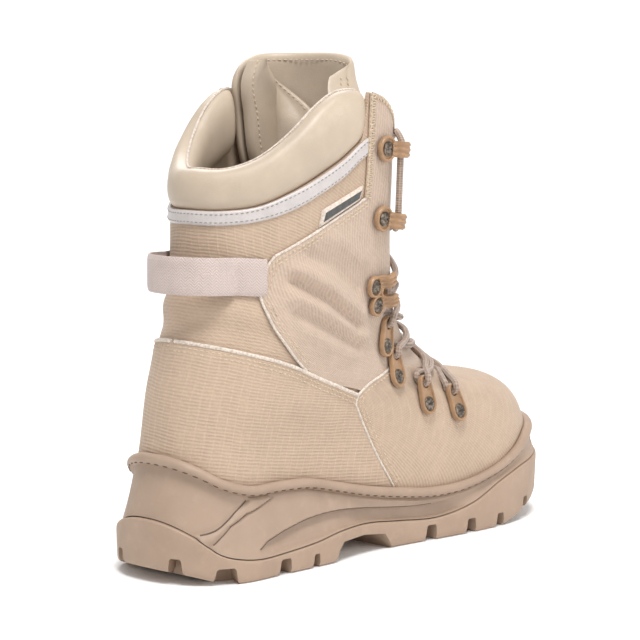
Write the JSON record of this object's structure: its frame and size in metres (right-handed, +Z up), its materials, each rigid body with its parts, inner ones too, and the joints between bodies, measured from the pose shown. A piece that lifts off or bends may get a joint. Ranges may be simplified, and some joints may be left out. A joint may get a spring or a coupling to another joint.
{
  "type": "military boot",
  "caption": "Tall laced military boot in sand ripstop textile with smooth leather tongue and padded collar, on a lugged cup sole.",
  "frame": {"origin": "on the floor at the middle of the heel tread", "axes": "+X to the toe, +Y to the inner side of a right foot, +Z up"},
  "size_m": [0.3064, 0.1185, 0.2626],
  "materials": {
    "fabric": "ripstop textile, matt",
    "leather": "smooth leather, satin",
    "rubber": "moulded rubber, matt",
    "webbing": "flat webbing",
    "band": "reflective tape",
    "plastic": "moulded nylon",
    "metal": "dark antique rivet",
    "lace": "round braid",
    "label": "plain woven tab",
    "insole": "felted insole"
  },
  "bodies": {
    "root": {"upper": "fabric", "midsole": "rubber", "outsole": "rubber", "insole": "insole", "tongue": "leather", "collar_pad": "leather", "pull_strap": "webbing", "vamp_panel": "fabric", "counter_panel": "fabric", "ankle_panel_outer": "fabric", "ankle_panel_inner": "fabric", "eyestay_outer": "fabric", "eyestay_inner": "fabric", "reflective_band": "band", "label_tab": "label", "lace": "lace", "lace_loop_1_outer": "plastic", "lace_loop_2_outer": "plastic", "lace_loop_3_outer": "plastic", "lace_loop_4_outer": "plastic", "hook_1_outer": "plastic", "hook_2_outer": "plastic", "double_hook_outer": "plastic", "rivet_1_outer": "metal", "rivet_2_outer": "metal", "rivet_3_outer": "metal", "rivet_4_outer": "metal", "rivet_5_outer": "metal", "rivet_6_outer": "metal", "rivet_7_outer": "metal", "rivet_8_outer": "metal", "lace_loop_1_inner": "plastic", "lace_loop_2_inner": "plastic", "lace_loop_3_inner": "plastic", "lace_loop_4_inner": "plastic", "hook_1_inner": "plastic", "hook_2_inner": "plastic", "double_hook_inner": "plastic", "rivet_1_inner": "metal", "rivet_2_inner": "metal", "rivet_3_inner": "metal", "rivet_4_inner": "metal", "rivet_5_inner": "metal", "rivet_6_inner": "metal", "rivet_7_inner": "metal", "rivet_8_inner": "metal"}
  },
  "joints": []
}
